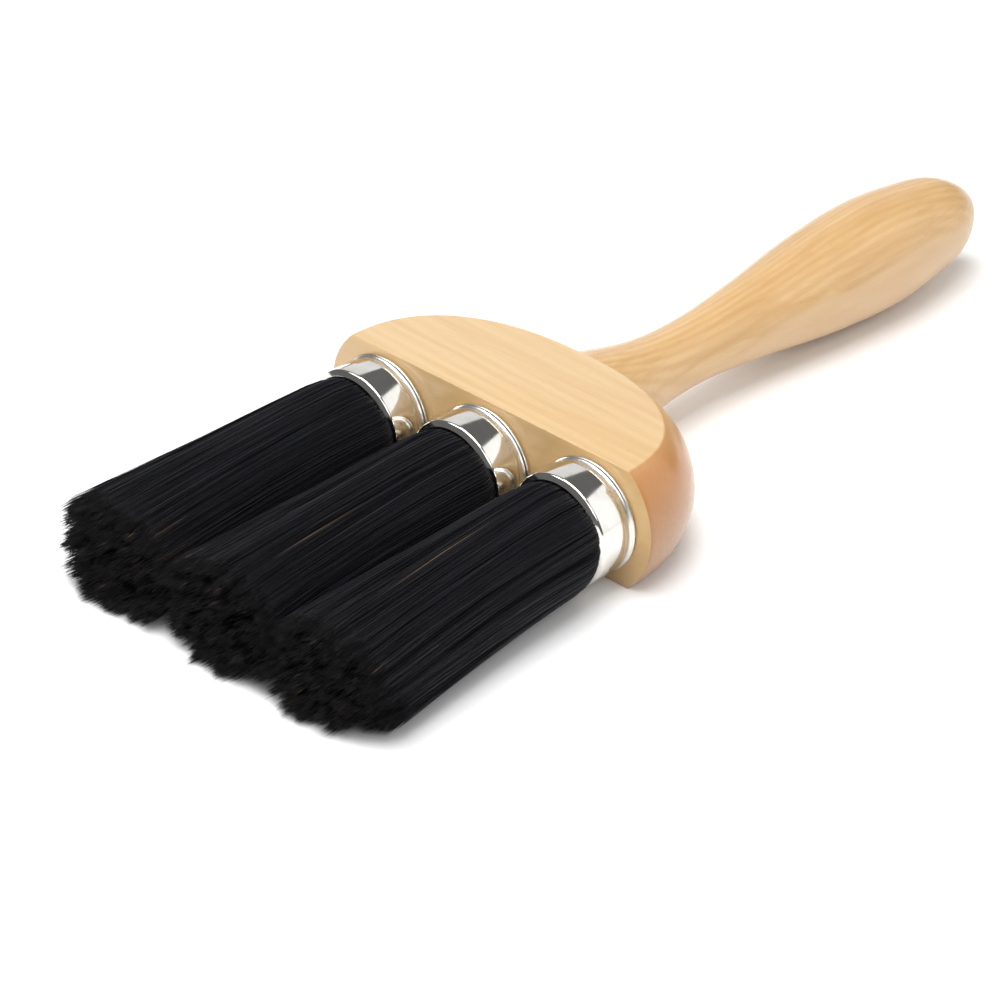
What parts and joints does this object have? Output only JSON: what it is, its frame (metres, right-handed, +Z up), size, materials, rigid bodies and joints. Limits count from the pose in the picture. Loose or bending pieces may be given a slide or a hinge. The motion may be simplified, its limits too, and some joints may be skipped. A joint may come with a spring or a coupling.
{
  "type": "three-knot wash brush",
  "caption": "Wash brush with round bristle knots in plated ferrules on a D-shaped wooden stock with a turned handle, for wetting, washing down and painting walls.",
  "frame": {"origin": "middle of the stock's flat underside", "axes": "+Y from the bristles to the handle, +Z up out of the stock's flat top face, X along the row of knots"},
  "size_m": [0.119, 0.3055, 0.0365],
  "materials": {
    "stock": "clear satin lacquer on pale beech",
    "handle": "clear satin lacquer on pale beech, lengthwise grain",
    "ferrule": "bright nickel plate",
    "bristle": "black natural bristle, slight sheen, brownish worn tips",
    "cement": "dull dark setting cement",
    "plug_wood": "raw turned wood",
    "screw_steel": "plain zinc-plated steel"
  },
  "bodies": {
    "root": {"stock": "stock", "handle": "handle", "handle_nail": "screw_steel", "ferrule_left": "ferrule", "ferrule_centre": "ferrule", "ferrule_right": "ferrule", "bristles_left": "bristle", "bristles_centre": "bristle", "bristles_right": "bristle", "setting_left": "cement", "setting_centre": "cement", "setting_right": "cement", "core_plug_left": "plug_wood", "core_plug_centre": "plug_wood", "core_plug_right": "plug_wood", "knot_screw_left": "screw_steel", "knot_screw_centre": "screw_steel", "knot_screw_right": "screw_steel"}
  },
  "joints": []
}
